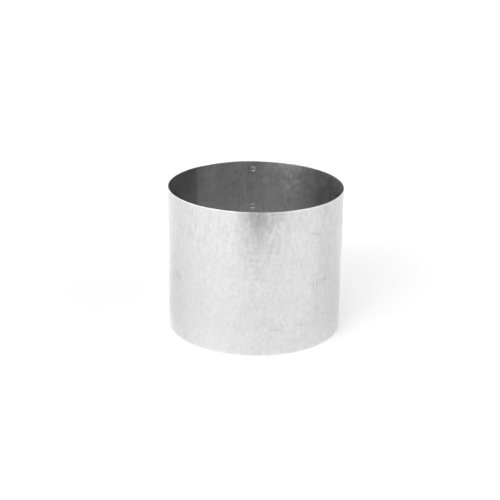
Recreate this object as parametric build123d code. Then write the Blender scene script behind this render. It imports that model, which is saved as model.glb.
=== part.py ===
from build123d import *
import os
from math import cos, radians, sin

# Chimney flue sleeve: one strip of zinc-coated steel sheet rolled into a short open tube.
# The two ends of the strip lap over each other at the back (+Y) and are joined by a row
# of resistance spot welds. Millimetres, +Z up along the tube's axis, origin on the axis
# in the plane of the bottom rim.

# ---- driving dimensions ----
bore_radius = 77.0          # inner face of the rolled sheet
sheet_t = 0.7               # sheet thickness with its zinc coat
height = 130.0              # rim to rim
seam_angle = 90.0           # weld line, degrees from +X about +Z
lap_width = 13.3            # overlap of the two ends, measured on the bore
lap_gap = 0.15              # hairline between the lapped layers, away from the welds
joggle_clear = 2.1          # degrees of full offset before the inner layer's cut edge
joggle_angle = 30.0         # degrees over which the sheet eases out to pass over the lap
edge_round = 0.12           # rounding of the sheared rims
weld_from_rim = (7.5, 43.8) # weld centres below the top rim, repeated above the bottom rim
weld_mark_r = 2.6           # rim of the electrode's mark
weld_flat_r = 1.7           # flat floor of the electrode's mark
weld_mark_depth = 0.2       # depth of the mark in each face
nugget_r = 1.9              # fused metal between the two layers

# ---- derived ----
half_lap = lap_width / 2 / bore_radius * 180 / 3.141592653589793
offset = sheet_t + lap_gap
lap_radius = bore_radius + offset           # inner face of the outer layer
inner_edge = seam_angle + half_lap          # cut edge of the inner layer
outer_edge = seam_angle - half_lap          # cut edge of the outer layer
joggle_end = inner_edge + joggle_clear
joggle_start = joggle_end + joggle_angle
joggle_mid = (joggle_start + joggle_end) / 2
# two tangent arcs of equal turn carry the sheet from bore_radius out to lap_radius
shift = offset / (2 * (1 - cos(radians(joggle_angle / 2))))
flat_radius = bore_radius + shift           # first arc, flatter than the tube
tight_radius = lap_radius - shift           # second arc, tighter than the tube


def polar(r, deg, centre=(0.0, 0.0)):
    return (centre[0] + r * cos(radians(deg)), centre[1] + r * sin(radians(deg)))


flat_centre = polar(-shift, joggle_start)
tight_centre = polar(shift, joggle_end)


def face_path(extra):
    """Edges of one face of the sheet, from the inner layer's cut edge right round to the
    outer layer's cut edge. extra is 0 for the inner face and sheet_t for the outer."""
    r0 = bore_radius + extra
    r3 = lap_radius + extra
    ra = flat_radius + extra
    rb = tight_radius + extra
    turn = joggle_angle / 2
    # angles fall from the inner layer's edge through right, front and left to the joggle
    start = inner_edge
    end = joggle_start - 360
    return [
        ThreePointArc(polar(r0, start), polar(r0, (start + end) / 2), polar(r0, end)),
        ThreePointArc(
            polar(ra, joggle_start, flat_centre),
            polar(ra, joggle_start - turn / 2, flat_centre),
            polar(ra, joggle_mid, flat_centre),
        ),
        ThreePointArc(
            polar(rb, joggle_mid, tight_centre),
            polar(rb, joggle_mid - turn / 2, tight_centre),
            polar(rb, joggle_end, tight_centre),
        ),
        ThreePointArc(
            polar(r3, joggle_end),
            polar(r3, (joggle_end + outer_edge) / 2),
            polar(r3, outer_edge),
        ),
    ]


# ---- rolled strip ----
inner = face_path(0.0)
outer = face_path(sheet_t)
cut_inner = Line(polar(bore_radius, inner_edge), polar(bore_radius + sheet_t, inner_edge))
cut_outer = Line(polar(lap_radius, outer_edge), polar(lap_radius + sheet_t, outer_edge))
section = make_face(inner + outer + [cut_inner, cut_outer])
shell = extrude(section, amount=height, dir=(0, 0, 1))

# sheared rims, slightly rounded along both faces of the sheet
if edge_round > 0:
    rims = shell.edges().filter_by(
        lambda e: abs(e.center().Z) < 1e-6 or abs(e.center().Z - height) < 1e-6
    ).filter_by(lambda e: e.length > 3)
    shell = fillet(rims, edge_round)

# ---- spot welds ----
weld_z = [height - d for d in weld_from_rim] + list(weld_from_rim)
outward = Rot(0, 0, seam_angle - 90) * Rot(-90, 0, 0)   # local +Z points out through the seam


def at_weld(z, r):
    return Pos(0, 0, z) * outward * Pos(0, 0, r)


for z in weld_z:
    layers = (bore_radius + sheet_t / 2, lap_radius + sheet_t / 2)
    nugget = at_weld(z, sum(layers) / 2) * Cylinder(nugget_r, layers[1] - layers[0])
    shell = shell + nugget

slope = (weld_mark_r - weld_flat_r) / weld_mark_depth
clear = 0.3
for z in weld_z:
    # inner face: the mark narrows going out into the sheet
    wide = weld_mark_r + slope * clear
    mark_in = at_weld(z, bore_radius + weld_mark_depth - (weld_mark_depth + clear) / 2) * Cone(
        wide, weld_flat_r, weld_mark_depth + clear
    )
    # outer face of the outer layer: the mark narrows going in
    face_r = lap_radius + sheet_t
    mark_out = at_weld(z, face_r - weld_mark_depth + (weld_mark_depth + clear) / 2) * Cone(
        weld_flat_r, wide, weld_mark_depth + clear
    )
    shell = shell - mark_in - mark_out

sleeve_shell = shell.solids()[0] if len(shell.solids()) == 1 else shell
sleeve_shell.label = "sleeve_shell"

os.makedirs("parts", exist_ok=True)
export_step(sleeve_shell, "parts/sleeve_shell.step")
print("solids", len(shell.solids()), "volume", shell.volume, "box", shell.bounding_box())
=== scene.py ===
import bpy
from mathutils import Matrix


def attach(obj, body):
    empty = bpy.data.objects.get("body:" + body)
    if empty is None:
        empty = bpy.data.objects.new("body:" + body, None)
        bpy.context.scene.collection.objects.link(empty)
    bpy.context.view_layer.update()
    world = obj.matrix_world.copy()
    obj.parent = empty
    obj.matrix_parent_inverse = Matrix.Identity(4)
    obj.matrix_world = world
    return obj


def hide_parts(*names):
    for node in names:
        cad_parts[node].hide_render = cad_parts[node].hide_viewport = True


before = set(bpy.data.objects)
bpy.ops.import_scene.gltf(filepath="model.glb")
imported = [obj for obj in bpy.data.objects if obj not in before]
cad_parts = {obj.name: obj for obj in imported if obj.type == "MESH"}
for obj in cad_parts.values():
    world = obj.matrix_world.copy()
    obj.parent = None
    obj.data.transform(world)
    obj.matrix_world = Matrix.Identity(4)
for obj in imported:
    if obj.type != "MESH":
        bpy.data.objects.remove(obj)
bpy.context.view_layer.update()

import math

import bpy
import numpy as np
from mathutils import Matrix, Vector

# A flue sleeve of zinc-coated steel sheet: a strip rolled into a short open tube, its ends
# lapped and spot-welded at the back (+Y). Lengths below are in millimetres, as in the part.
MM = 0.001
BORE_R = 77.0
SHEET = 0.7
HEIGHT = 130.0
SEAM = 90.0
LAP = 13.3
LAP_GAP = 0.15
JOGGLE_CLEAR = 2.1
JOGGLE = 30.0
EDGE = 0.14
WELD_Z = [HEIGHT - 7.5, HEIGHT - 44.5, 44.5, 7.5]
WELD_R = 1.75
WELD_FLAT = 0.65
WELD_DEPTH = 0.06
COLLAR_R = 1.95
COLLAR_H = 0.19


# ---------------------------------------------------------------- the rolled sheet
def rolled_sheet():
    """The strip as one closed mesh, from the inner layer's cut edge round to the outer
    layer's, with rounded cut edges and the weld marks pressed into both faces."""
    half_lap = math.degrees(LAP / 2 / BORE_R)
    offset = SHEET + LAP_GAP
    lap_r = BORE_R + offset
    inner_edge = SEAM + half_lap
    outer_edge = SEAM - half_lap
    joggle_end = inner_edge + JOGGLE_CLEAR
    joggle_start = joggle_end + JOGGLE
    joggle_mid = (joggle_start + joggle_end) / 2
    shift = offset / (2 * (1 - math.cos(math.radians(JOGGLE / 2))))
    total = inner_edge - (outer_edge - 360)
    mid_r = BORE_R + SHEET / 2
    per_deg = math.radians(1) * mid_r
    weld_in = inner_edge - SEAM            # turn from the start to the weld line, inner layer
    weld_out = total - (SEAM - outer_edge)  # the same on the outer layer

    def graded(lo, hi, step, windows, ends):
        """Points from lo to hi, step apart, with fine windows (centre, half width, step)
        and the extra points in ends at both ends."""
        pts = list(np.linspace(lo, hi, int(round((hi - lo) / step)) + 1))
        for c, w, s in windows:
            pts = [p for p in pts if abs(p - c) > w + 0.6 * s]
            pts += list(np.linspace(c - w, c + w, int(round(2 * w / s)) + 1))
        far = max(ends)
        pts = [p for p in pts if lo + 1.5 * far < p < hi - 1.5 * far]
        pts += [lo + e for e in ends] + [hi - e for e in ends]
        return np.array(sorted(pts))

    rounding = [EDGE * (1 - math.cos(math.radians(a))) for a in (0, 22.5, 45, 67.5, 90)]
    holding = rounding + [EDGE + 0.12, EDGE + 0.5]
    z = graded(0, HEIGHT, 2.6, [(c, 3.0, 0.24) for c in WELD_Z], holding)
    turn = graded(
        0,
        total,
        1.7,
        [(c, 3.0 / per_deg, 0.24 / per_deg) for c in (weld_in, weld_out)],
        [h / per_deg for h in holding],
    )

    theta = inner_edge - turn
    cx = np.zeros_like(turn)
    cy = np.zeros_like(turn)
    rad = np.full_like(turn, mid_r)
    a = theta < joggle_start - 360
    cx[a], cy[a] = (-shift * math.cos(math.radians(joggle_start)), -shift * math.sin(math.radians(joggle_start)))
    rad[a] = mid_r + shift
    a = theta < joggle_mid - 360
    cx[a], cy[a] = (shift * math.cos(math.radians(joggle_end)), shift * math.sin(math.radians(joggle_end)))
    rad[a] = mid_r + offset - shift
    a = theta < joggle_end - 360
    cx[a], cy[a] = 0, 0
    rad[a] = mid_r + offset
    nx, ny = np.cos(np.radians(theta)), np.sin(np.radians(theta))

    def loss(d):
        d = np.clip(d, 0, EDGE)
        return EDGE - np.sqrt(np.maximum(EDGE**2 - (EDGE - d) ** 2, 0))

    along = turn * per_deg
    from_cut = np.minimum(along, total * per_deg - along)
    from_rim = np.minimum(z, HEIGHT - z)
    thin = np.maximum(loss(from_cut)[:, None], loss(from_rim)[None, :])
    half = SHEET / 2 - thin

    # a rolled sheet is never quite round: both layers of the lap move together
    th = np.radians(theta)[:, None]
    up = (z / HEIGHT)[None, :]
    wave = (
        0.05 * np.cos(2 * th + 0.6)
        + 0.035 * np.cos(3 * th + 2.0)
        + 0.02 * np.cos(5 * th + 0.9 + 0.5 * up)
        + 0.012 * np.cos(9 * th + 1.7 - 0.8 * up)
        + 0.03 * (up - 0.5) * np.cos(4 * th + 1.1)
    )

    def mark(centre_turn, seed, deep, high):
        """Depth of the electrode marks on one layer: a shallow cup with a pushed-up collar."""
        depth = np.zeros((len(turn), len(z)))
        ds = ((turn - centre_turn) * per_deg)[:, None]
        for k, wz in enumerate(WELD_Z):
            dz = (z - wz)[None, :]
            ang = np.arctan2(dz, ds)
            r = np.hypot(ds, dz)
            r = r / (1 + 0.035 * np.cos(2 * ang + seed + k) + 0.025 * np.cos(3 * ang + 2 * seed - k))
            x = np.clip((WELD_R - r) / (WELD_R - WELD_FLAT), 0, 1)
            cup = deep * x * x * (3 - 2 * x)
            cup *= 1 + 0.12 * np.cos(ang + 1.3 * seed + k) * np.clip(r / WELD_R, 0, 1)
            collar = high * (1.0 if k in (0, 3) else 1.18) * np.exp(-(((r - COLLAR_R) / 0.42) ** 2))
            depth += cup - collar
        return depth

    cup_in = mark(weld_in, 0.4, WELD_DEPTH, COLLAR_H)
    cup_out = mark(weld_out, 1.9, 0.15, 0.07)

    def face(side):
        off = side * half + wave
        off = off + (cup_in if side < 0 else -cup_out)
        px = cx[:, None] + (rad[:, None] + off) * nx[:, None]
        py = cy[:, None] + (rad[:, None] + off) * ny[:, None]
        pz = np.broadcast_to(z[None, :], px.shape)
        return np.stack([px, py, pz], axis=-1)

    inside, outside = face(-1), face(1)
    loop = np.concatenate([inside, outside[:, ::-1]], axis=1)   # up the inside, down the outside
    n, m = loop.shape[:2]
    verts = loop.reshape(-1, 3) * MM
    i = np.arange(n - 1)[:, None]
    j = np.arange(m)[None, :]
    j2 = (j + 1) % m
    quads = np.stack([i * m + j, i * m + j2, (i + 1) * m + j2, (i + 1) * m + j], axis=-1).reshape(-1, 4)
    rows = len(z)
    k = np.arange(rows - 1)
    first = np.stack([k, m - 1 - k, m - 2 - k, k + 1], axis=-1)
    base = (n - 1) * m
    last = np.stack([base + k, base + k + 1, base + m - 2 - k, base + m - 1 - k], axis=-1)
    faces = np.concatenate([quads, first, last])[:, ::-1]   # every face looks out of the metal

    me = bpy.data.meshes.new("sleeve")
    me.from_pydata(verts.tolist(), [], faces.tolist())
    me.polygons.foreach_set("use_smooth", np.ones(len(faces), dtype=bool))
    # unrolled places for each corner: turn along u, the loop over both faces along v
    lengths = np.concatenate([z, z[-1] + SHEET + (HEIGHT - z[::-1]), [2 * HEIGHT + 2 * SHEET]])
    u_of = 0.01 + 0.95 * turn / total
    v_of = 0.01 + 0.98 * lengths / lengths[-1]
    uv = np.zeros((len(faces), 4, 2))
    nq = len(quads)
    iu = np.repeat(np.arange(n - 1), m)
    jv = np.tile(np.arange(m), n - 1)
    for c, (di, dj) in enumerate(((0, 0), (0, 1), (1, 1), (1, 0))):
        uv[:nq, c, 0] = u_of[iu + di]
        uv[:nq, c, 1] = v_of[jv + dj]
    nf = len(first)
    zn = 0.01 + 0.98 * z / HEIGHT
    for c, (col, dk) in enumerate(((0.968, 0), (0.976, 0), (0.976, 1), (0.968, 1))):
        uv[nq : nq + nf, c, 0] = col
        uv[nq : nq + nf, c, 1] = zn[k + dk]
    for c, (col, dk) in enumerate(((0.984, 0), (0.984, 1), (0.992, 1), (0.992, 0))):
        uv[nq + nf :, c, 0] = col
        uv[nq + nf :, c, 1] = zn[k + dk]
    layer = me.uv_layers.new(name="OFBake")
    layer.data.foreach_set("uv", uv[:, ::-1].reshape(-1))
    me.validate()
    me.update()
    ob = bpy.data.objects.new("sleeve_sheet", me)
    bpy.context.scene.collection.objects.link(ob)
    return ob


# ---------------------------------------------------------------- zinc-coated sheet
# Scuffs rubbed into the zinc on the outside: angle round the tube in degrees, height,
# half length and half width in millimetres, slope, strength.
SCUFFS = [
    (-88.0, 123.0, 22.0, 11.0, 0.0, 0.28),
    (-78.7, 23.7, 4.6, 1.15, 0.02, 1.0),
    (-60.0, 25.3, 5.5, 1.2, -0.08, 0.8),
    (-49.5, 23.9, 5.0, 1.1, -0.03, 0.8),
    (-104.6, 26.0, 3.2, 1.2, 0.0, 0.65),
    (-51.5, 59.3, 0.9, 4.0, 2.2, 1.2),
    (-48.5, 59.8, 0.8, 3.6, 2.0, 1.2),
    (-45.8, 60.2, 0.8, 3.2, 2.0, 1.0),
    (-41.0, 60.9, 3.2, 1.7, 0.35, 1.0),
    (-92.8, 87.9, 5.5, 1.5, 0.0, 0.65),
    (-82.9, 95.0, 4.0, 1.4, 0.0, 0.6),
    (-50.5, 105.4, 4.6, 1.4, -0.2, 0.8),
    (-47.7, 36.5, 1.6, 2.6, 0.0, 0.7),
    (-151.8, 59.1, 6.0, 4.0, 0.0, 0.6),
    (-76.3, 128.0, 9.0, 0.5, -0.02, 1.0),
    (-20.0, 48.0, 5.0, 1.2, 0.1, 0.7),
    (30.0, 90.0, 3.5, 1.3, -0.1, 0.6),
    (60.0, 31.0, 6.0, 1.1, 0.05, 0.8),
    (118.0, 72.0, 4.0, 1.6, 0.3, 0.6),
    (160.0, 104.0, 5.0, 1.1, -0.05, 0.7),
    (-175.0, 22.0, 4.5, 1.2, 0.1, 0.7),
]


def zinc_material():
    mat = bpy.data.materials.new("galvanised_sheet")
    mat.use_nodes = True
    nt = mat.node_tree
    nt.nodes.clear()
    out = nt.nodes.new("ShaderNodeOutputMaterial")
    bsdf = nt.nodes.new("ShaderNodeBsdfPrincipled")
    nt.links.new(bsdf.outputs[0], out.inputs["Surface"])
    bsdf.inputs["Metallic"].default_value = 1.0
    # the rolls leave fine lines round the tube, which draw reflections out upwards
    bsdf.inputs["Anisotropic"].default_value = 0.6
    bsdf.inputs["Anisotropic Rotation"].default_value = 0.25
    around = nt.nodes.new("ShaderNodeTangent")
    around.direction_type = "RADIAL"
    around.axis = "Z"
    nt.links.new(around.outputs[0], bsdf.inputs["Tangent"])

    def node(kind, **inputs):
        n = nt.nodes.new(kind)
        for name, value in inputs.items():
            n.inputs[name].default_value = value
        return n

    def calc(op, a, b=None, c=None, clamp=False):
        n = nt.nodes.new("ShaderNodeMath")
        n.operation = op
        n.use_clamp = clamp
        for i, v in enumerate((a, b, c)):
            if v is None:
                continue
            if isinstance(v, (int, float)):
                n.inputs[i].default_value = v
            else:
                nt.links.new(v, n.inputs[i])
        return n.outputs[0]

    def remap(value, lo, hi, a, b, smooth=False):
        n = nt.nodes.new("ShaderNodeMapRange")
        n.interpolation_type = "SMOOTHSTEP" if smooth else "LINEAR"
        nt.links.new(value, n.inputs["Value"])
        for name, v in (("From Min", lo), ("From Max", hi), ("To Min", a), ("To Max", b)):
            n.inputs[name].default_value = v
        return n.outputs["Result"]

    def vec(op, a, b=None, c=None):
        n = nt.nodes.new("ShaderNodeVectorMath")
        n.operation = op
        for i, v in enumerate((a, b, c)):
            if v is None:
                continue
            if isinstance(v, tuple):
                n.inputs[i].default_value = v
            else:
                nt.links.new(v, n.inputs[i])
        return n.outputs[0]

    place = nt.nodes.new("ShaderNodeTexCoord").outputs["Object"]

    def scaled(sx, sy, sz):
        return vec("MULTIPLY", place, (sx, sy, sz))

    def noise(vector, scale, detail=2.0, rough=0.5, distort=0.0):
        n = node("ShaderNodeTexNoise", Scale=scale, Detail=detail, Roughness=rough, Distortion=distort)
        nt.links.new(vector, n.inputs["Vector"])
        return n

    # place on the unrolled sheet: angle in degrees, height in millimetres, which face
    xyz = nt.nodes.new("ShaderNodeSeparateXYZ")
    nt.links.new(place, xyz.inputs[0])
    x, y, z = xyz.outputs
    angle = calc("MULTIPLY", calc("ARCTAN2", y, x), 180 / math.pi)
    height = calc("MULTIPLY", z, 1 / MM)
    radius = calc("MULTIPLY", calc("SQRT", calc("ADD", calc("MULTIPLY", x, x), calc("MULTIPLY", y, y))), 1 / MM)
    outer = remap(radius, BORE_R + 0.25, BORE_R + 0.45, 0, 1, smooth=True)

    # spangle: small zinc crystals, a little taller than wide, their outlines bent
    bend = noise(place, 420.0, 2.0)
    bent = vec("MULTIPLY_ADD", bend.outputs["Color"], (0.0012, 0.0012, 0.0012), scaled(1.0, 1.0, 0.65))
    cells = node("ShaderNodeTexVoronoi", Scale=520.0, Randomness=1.0)
    nt.links.new(bent, cells.inputs["Vector"])
    split = nt.nodes.new("ShaderNodeSeparateColor")
    nt.links.new(cells.outputs["Color"], split.inputs[0])

    cloud = noise(place, 55.0, 3.0, 0.55, 0.4).outputs["Fac"]
    swirl = noise(scaled(1.0, 1.0, 0.6), 120.0, 2.0, 0.5, 1.6).outputs["Fac"]
    strokes = noise(scaled(1.0, 1.0, 0.28), 330.0, 2.0, 0.5)
    lines = noise(scaled(1.0, 1.0, 0.045), 620.0, 3.0, 0.6).outputs["Fac"]
    mottle = noise(scaled(1.0, 1.0, 0.85), 430.0, 1.0, 0.5).outputs["Fac"]
    grain = noise(place, 1000.0, 3.0, 0.6).outputs["Fac"]

    # scuffs, broken up by the fine grain of the surface
    scuff = None
    for a0, h0, half_len, half_wid, slope, strength in SCUFFS:
        ds = calc("MULTIPLY", calc("SUBTRACT", angle, a0), math.radians(1) * (BORE_R + SHEET))
        dz = calc("SUBTRACT", calc("MULTIPLY_ADD", ds, -slope, height), h0)
        u = calc("MULTIPLY", ds, 1 / half_len)
        v = calc("MULTIPLY", dz, 1 / half_wid)
        q = calc("MULTIPLY_ADD", u, u, calc("MULTIPLY", v, v))
        m = calc("MULTIPLY", calc("EXPONENT", calc("MULTIPLY", q, -1.0)), strength)
        scuff = m if scuff is None else calc("ADD", scuff, m)
    rub = noise(scaled(1.0, 1.0, 1.6), 520.0, 2.0, 0.6).outputs["Fac"]
    scuff = calc("MULTIPLY", calc("MULTIPLY", scuff, outer), remap(rub, 0.36, 0.62, 0.45, 1.0, smooth=True))

    # the weld marks are duller than the sheet round them; they mirror about mid height
    fold = calc("ABSOLUTE", calc("SUBTRACT", height, HEIGHT / 2))
    dz = [calc("ABSOLUTE", calc("SUBTRACT", fold, wz - HEIGHT / 2)) for wz in WELD_Z[:2]]
    dz = calc("MINIMUM", dz[0], dz[1])
    ds = calc("MULTIPLY", calc("SUBTRACT", angle, SEAM), math.radians(1) * BORE_R)
    from_weld = calc("SQRT", calc("MULTIPLY_ADD", ds, ds, calc("MULTIPLY", dz, dz)))
    burnt = remap(from_weld, 1.1, 2.6, 1.0, 0.0, smooth=True)

    # a dark line painted in the step of the lap, outside: painted shadow of the step, with some grime
    step_edge = SEAM - math.degrees(LAP / 2 / BORE_R)
    from_step = calc("MULTIPLY", calc("ABSOLUTE", calc("SUBTRACT", angle, step_edge - 0.2)), math.radians(1) * (BORE_R + SHEET))
    step_shadow_and_grime = calc("MULTIPLY", remap(from_step, 0.2, 0.75, 1.0, 0.0, smooth=True), outer)

    # the rolling strokes show most towards the top rim
    stroke = calc("MULTIPLY", remap(strokes.outputs["Fac"], 0.3, 0.7, -0.022, 0.022), remap(height, 70.0, 115.0, 0.5, 1.8, smooth=True))
    tone = remap(split.outputs["Red"], 0, 1, -0.026, 0.026)
    tone = calc("ADD", tone, remap(mottle, 0.3, 0.7, -0.026, 0.026))
    tone = calc("ADD", tone, stroke)
    tone = calc("MULTIPLY", tone, remap(outer, 0, 1, 0.6, 1.0))
    tone = calc("ADD", tone, calc("MULTIPLY", remap(swirl, 0.3, 0.7, -0.035, 0.035), remap(outer, 0, 1, 1.0, 0.15)))
    tone = calc("ADD", tone, remap(cloud, 0.3, 0.7, -0.010, 0.010))
    tone = calc("ADD", tone, remap(lines, 0.3, 0.7, -0.010, 0.010))
    tone = calc("ADD", tone, remap(grain, 0.3, 0.7, -0.012, 0.012))
    tone = calc("MULTIPLY_ADD", scuff, -0.15, tone)
    tone = calc("MULTIPLY_ADD", burnt, -0.2, tone)
    # painted shadow of the lap step, with some grime
    tone = calc("MULTIPLY_ADD", step_shadow_and_grime, -0.26, tone)
    # a painted highlight along the cut edge of the bent-in end of the lap, inside
    lap_edge = SEAM + math.degrees(LAP / 2 / BORE_R)
    from_edge = calc("MULTIPLY", calc("ABSOLUTE", calc("SUBTRACT", angle, lap_edge + 0.4)), math.radians(1) * BORE_R)
    inward = remap(radius, BORE_R + SHEET + 0.3, BORE_R + SHEET + 0.6, 1.0, 0.0, smooth=True)
    edge_highlight = calc("MULTIPLY", remap(from_edge, 0.5, 2.0, 1.0, 0.0, smooth=True), inward)
    tone = calc("MULTIPLY_ADD", edge_highlight, 0.06, tone)
    # painted light: the outside is made a little lighter towards the bottom, in front and behind, where it mirrors the
    # floor close by
    painted_low_light = calc("MULTIPLY", remap(height, 8.0, 38.0, 1.0, 0.0, smooth=True), outer)
    painted_low_light = calc("MULTIPLY", painted_low_light, remap(calc("ABSOLUTE", x), 0.055, 0.072, 1.0, 0.0, smooth=True))
    tone = calc("MULTIPLY_ADD", painted_low_light, 0.03, tone)
    # a thin painted highlight along both rims, outside
    rim_highlight = calc("MULTIPLY", remap(fold, HEIGHT / 2 - 1.5, HEIGHT / 2 - 0.8, 0, 1, smooth=True), outer)
    tone = calc("MULTIPLY_ADD", rim_highlight, 0.09, tone)
    tone = calc("ADD", tone, 0.66)
    # painted shade and light on the inside: seen at a slant its colour is darkened, and lightened again at a glance;
    # less so on the right, where a painted light band lies low down under a painted dark band at the rim
    right = remap(x, -0.02, 0.05, 0, 1, smooth=True)
    slant = node("ShaderNodeLayerWeight", Blend=0.5).outputs["Facing"]
    slant = calc("MULTIPLY_ADD", right, -0.041, slant)
    inside_shade_and_light = calc("MULTIPLY_ADD", right, 0.13, remap(slant, 0.33, 0.57, -0.185, 0.09))
    inside_shade_and_light = calc("MULTIPLY_ADD", remap(slant, 0.287, 0.315, 0, 1, smooth=True), inside_shade_and_light, -0.015)
    # painted light band, low down, with painted shade at the rim, on the inside right of the seam at the back
    painted_band_mask = calc("MULTIPLY", remap(angle, 80.0, 60.0, 0, 1, smooth=True), remap(angle, 18.0, 36.0, 0, 1, smooth=True))
    inside_shade_and_light = calc("MULTIPLY_ADD", painted_band_mask, remap(height, 111.0, 127.0, 0.05, -0.06, smooth=True), inside_shade_and_light)
    # only the inside takes the painted shade and light
    tone = calc("MULTIPLY", tone, calc("MULTIPLY_ADD", inside_shade_and_light, calc("SUBTRACT", 1.0, outer), 1.0))
    grey = nt.nodes.new("ShaderNodeCombineColor")
    for c in ("Red", "Green", "Blue"):
        nt.links.new(tone, grey.inputs[c])
    nt.links.new(grey.outputs[0], bsdf.inputs["Base Color"])

    rough = remap(split.outputs["Green"], 0, 1, -0.03, 0.03)
    rough = calc("ADD", rough, remap(cloud, 0.3, 0.7, 0.02, -0.02))
    rough = calc("ADD", rough, remap(strokes.outputs["Fac"], 0.3, 0.7, 0.015, -0.015))
    rough = calc("MULTIPLY_ADD", scuff, 0.03, rough)
    rough = calc("MULTIPLY_ADD", burnt, 0.06, rough)
    rough = calc("ADD", rough, 0.20)
    nt.links.new(rough, bsdf.inputs["Roughness"])

    # the rolled face is not quite flat: upright strokes stand at slight tilts, more on the
    # outside, and each crystal has its own
    sway = nt.nodes.new("ShaderNodeVectorMath")
    sway.operation = "SCALE"
    nt.links.new(vec("SUBTRACT", strokes.outputs["Color"], (0.5, 0.5, 0.5)), sway.inputs[0])
    nt.links.new(remap(outer, 0, 1, 0.012, 0.030), sway.inputs["Scale"])
    facet = vec("MULTIPLY_ADD", cells.outputs["Color"], (0.010, 0.010, 0.010), (-0.005, -0.005, -0.005))
    bump = node("ShaderNodeBump", Strength=0.05, Distance=0.0002)
    nt.links.new(grain, bump.inputs["Height"])
    unit = vec("NORMALIZE", vec("ADD", vec("ADD", bump.outputs[0], sway.outputs[0]), facet))
    nt.links.new(unit, bsdf.inputs["Normal"])
    return mat


sleeve = rolled_sheet()
sleeve.data.materials.append(zinc_material())
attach(sleeve, "root")
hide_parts("sleeve_shell")


# ---------------------------------------------------------------- floor
def plain_material(name, value):
    mat = bpy.data.materials.new(name)
    mat.use_nodes = True
    nt = mat.node_tree
    bsdf = next(n for n in nt.nodes if n.type == "BSDF_PRINCIPLED")
    bsdf.inputs["Base Color"].default_value = (value, value, value, 1)
    bsdf.inputs["Roughness"].default_value = 0.9
    bsdf.inputs["Specular IOR Level"].default_value = 0.0
    return mat


def sheet_of(name, x0, x1, y0, y1, z):
    me = bpy.data.meshes.new(name)
    me.from_pydata([(x0, y0, z), (x1, y0, z), (x1, y1, z), (x0, y1, z)], [], [(0, 1, 2, 3)])
    ob = bpy.data.objects.new(name, me)
    bpy.context.scene.collection.objects.link(ob)
    return ob


floor = sheet_of("floor", -8, 8, -8, 8, 0.0)
floor.data.materials.append(plain_material("floor_white", 0.82))

# ---------------------------------------------------------------- studio flags
# Soft-edged dark sheets on the floor, seen only as reflections in the metal: a black one in
# front, and a thin grey scrim behind and beside the tube.
def flag_sheet(name, x0, x1, y0, y1, cover_of):
    ob = sheet_of(name, x0, x1, y0, y1, 0.001)
    mat = bpy.data.materials.new(name)
    mat.use_nodes = True
    nt = mat.node_tree
    nt.nodes.clear()
    out = nt.nodes.new("ShaderNodeOutputMaterial")
    clear = nt.nodes.new("ShaderNodeBsdfTransparent")
    nt.links.new(clear.outputs[0], out.inputs["Surface"])

    def calc(op, a, b=None, c=None):
        n = nt.nodes.new("ShaderNodeMath")
        n.operation = op
        for i, v in enumerate((a, b, c)):
            if v is None:
                continue
            if isinstance(v, (int, float)):
                n.inputs[i].default_value = v
            else:
                nt.links.new(v, n.inputs[i])
        return n.outputs[0]

    def ramp(value, lo, hi, a=0.0, b=1.0):
        n = nt.nodes.new("ShaderNodeMapRange")
        n.interpolation_type = "SMOOTHSTEP"
        nt.links.new(value, n.inputs["Value"])
        for key, v in (("From Min", lo), ("From Max", hi), ("To Min", a), ("To Max", b)):
            n.inputs[key].default_value = v
        return n.outputs["Result"]

    xyz = nt.nodes.new("ShaderNodeSeparateXYZ")
    nt.links.new(nt.nodes.new("ShaderNodeTexCoord").outputs["Object"], xyz.inputs[0])
    cover = cover_of(xyz.outputs[0], xyz.outputs[1], calc, ramp)
    nt.links.new(calc("SUBTRACT", 1.0, cover), clear.inputs["Color"])
    ob.data.materials.append(mat)
    ob.visible_camera = False
    ob.visible_diffuse = False
    ob.visible_transmission = False
    ob.visible_shadow = False
    return ob


def front_cover(x, y, calc, ramp):
    # the near edge runs back on both sides of the middle, the left side fades out
    bow = calc("SQRT", calc("MULTIPLY_ADD", x, x, 0.0004))
    depth = calc("MULTIPLY_ADD", bow, -0.5, calc("MULTIPLY_ADD", y, -1.0, -0.43))
    return calc("MULTIPLY", ramp(depth, -0.012, 0.045), ramp(x, -0.75, 0.0))


def scrim_cover(x, y, calc, ramp):
    # a little denser on the right, and open under the tube itself
    clear = ramp(calc("SQRT", calc("MULTIPLY_ADD", x, x, calc("MULTIPLY", y, y))), 0.08, 0.10)
    aside = ramp(calc("DIVIDE", y, calc("MAXIMUM", calc("ABSOLUTE", x), 0.001)), 0.35, 1.1, 1.0, 0.0)
    aside = calc("MAXIMUM", aside, ramp(y, 0.12, 0.26))
    sides = calc("MULTIPLY", ramp(y, -0.12, 0.0), aside)
    return calc("MULTIPLY", calc("MULTIPLY", clear, sides), ramp(x, -0.15, 0.15, 0.05, 0.12))


flag = flag_sheet("front_flag", -1.2, 1.2, -2.4, -0.38, front_cover)
scrim = flag_sheet("back_scrim", -1.2, 1.2, -0.13, 1.2, scrim_cover)


# ---------------------------------------------------------------- camera
AIM = Vector((0, 0, HEIGHT / 2 * MM))
DIST = 1.05
AZ, EL, ROLL = math.radians(-2.2), math.radians(20.3679), math.radians(0.8703)
back = Vector((math.sin(AZ) * math.cos(EL), -math.cos(AZ) * math.cos(EL), math.sin(EL)))
right = Vector((math.cos(AZ), math.sin(AZ), 0))
up = back.cross(right)
right_r = math.cos(ROLL) * right + math.sin(ROLL) * up
up_r = -math.sin(ROLL) * right + math.cos(ROLL) * up
F_PX = 1160.44
spot = AIM + back * DIST
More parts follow.
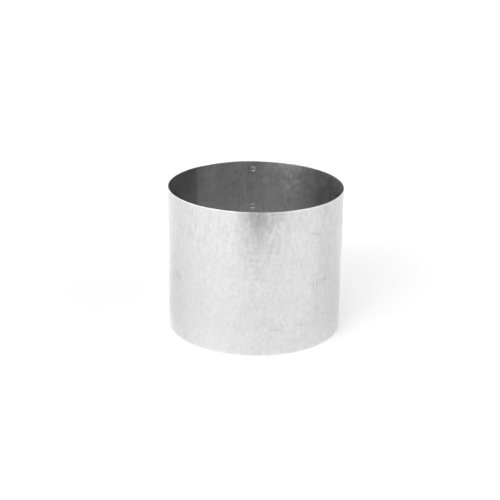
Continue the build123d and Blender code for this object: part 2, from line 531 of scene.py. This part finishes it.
# the tube's middle stands a few pixels right of and below the picture's middle
look = AIM - right_r * (4.95 / F_PX * DIST) + up_r * (3.9048 / F_PX * DIST)
back2 = (spot - look).normalized()
right2 = up_r.cross(back2).normalized()
up2 = back2.cross(right2)
cam_data = bpy.data.cameras.new("camera")
cam_data.sensor_width = 36.0
cam_data.lens = F_PX / 500 * 36.0
cam_data.clip_start = 0.05
cam_data.clip_end = 50
cam = bpy.data.objects.new("camera", cam_data)
cam.matrix_world = Matrix(
    (
        (right2.x, up2.x, back2.x, spot.x),
        (right2.y, up2.y, back2.y, spot.y),
        (right2.z, up2.z, back2.z, spot.z),
        (0, 0, 0, 1),
    )
)
bpy.context.scene.collection.objects.link(cam)
bpy.context.scene.camera = cam

# ---------------------------------------------------------------- light
# Soft light from all round, in wide lobes: azimuth from the camera's side (left is
# negative), elevation, strength. The camera itself sees plain white past the floor.
LOBES = [
    (-140, 8, 3.77),
    (-120, 8, 0.86),
    (-100, 8, 6.15),
    (-80, 8, 3.29),
    (-60, 8, 5.26),
    (-40, 8, 4.77),
    (20, 8, 0.89),
    (140, 8, 2.51),
    (-40, 28, 3.16),
    (-20, 28, 4.03),
    (20, 28, 0.05),
    (60, 28, 5.48),
    (80, 28, 2.21),
    (100, 28, 0.29),
    (120, 28, 1.91),
    (160, 28, 0.05),
    (-180, 48, 2.11),
    (-120, 48, 0.53),
    (-180, 70, 1.59),
    (0, 70, 1.75),
]
LOBE_SHARPNESS = 25.0


def studio_world():
    world = bpy.data.worlds.new("studio")
    world.use_nodes = True
    nt = world.node_tree
    bg = next(n for n in nt.nodes if n.type == "BACKGROUND")
    bg.inputs["Color"].default_value = (1, 1, 1, 1)
    toward = nt.nodes.new("ShaderNodeTexCoord").outputs["Generated"]
    total = None
    for az, el, strength in LOBES:
        a, e = math.radians(az), math.radians(el)
        dot = nt.nodes.new("ShaderNodeVectorMath")
        dot.operation = "DOT_PRODUCT"
        nt.links.new(toward, dot.inputs[0])
        dot.inputs[1].default_value = (math.sin(a) * math.cos(e), -math.cos(a) * math.cos(e), math.sin(e))
        fall = nt.nodes.new("ShaderNodeMath")
        fall.operation = "MULTIPLY_ADD"
        nt.links.new(dot.outputs["Value"], fall.inputs[0])
        fall.inputs[1].default_value = LOBE_SHARPNESS
        fall.inputs[2].default_value = -LOBE_SHARPNESS
        lobe = nt.nodes.new("ShaderNodeMath")
        lobe.operation = "EXPONENT"
        nt.links.new(fall.outputs[0], lobe.inputs[0])
        add = nt.nodes.new("ShaderNodeMath")
        add.operation = "MULTIPLY_ADD"
        nt.links.new(lobe.outputs[0], add.inputs[0])
        add.inputs[1].default_value = strength
        add.inputs[2].default_value = 0.0
        if total is not None:
            nt.links.new(total, add.inputs[2])
        total = add.outputs[0]
    seen = nt.nodes.new("ShaderNodeLightPath").outputs["Is Camera Ray"]
    pick = nt.nodes.new("ShaderNodeMix")
    nt.links.new(seen, pick.inputs[0])
    nt.links.new(total, pick.inputs[2])
    pick.inputs[3].default_value = 1.0
    nt.links.new(pick.outputs[0], bg.inputs["Strength"])
    return world


bpy.context.scene.world = studio_world()

# keep stray bright samples out of the polished zinc
bpy.context.scene.cycles.sample_clamp_indirect = 2.0

bpy.context.scene.view_settings.view_transform = "Standard"
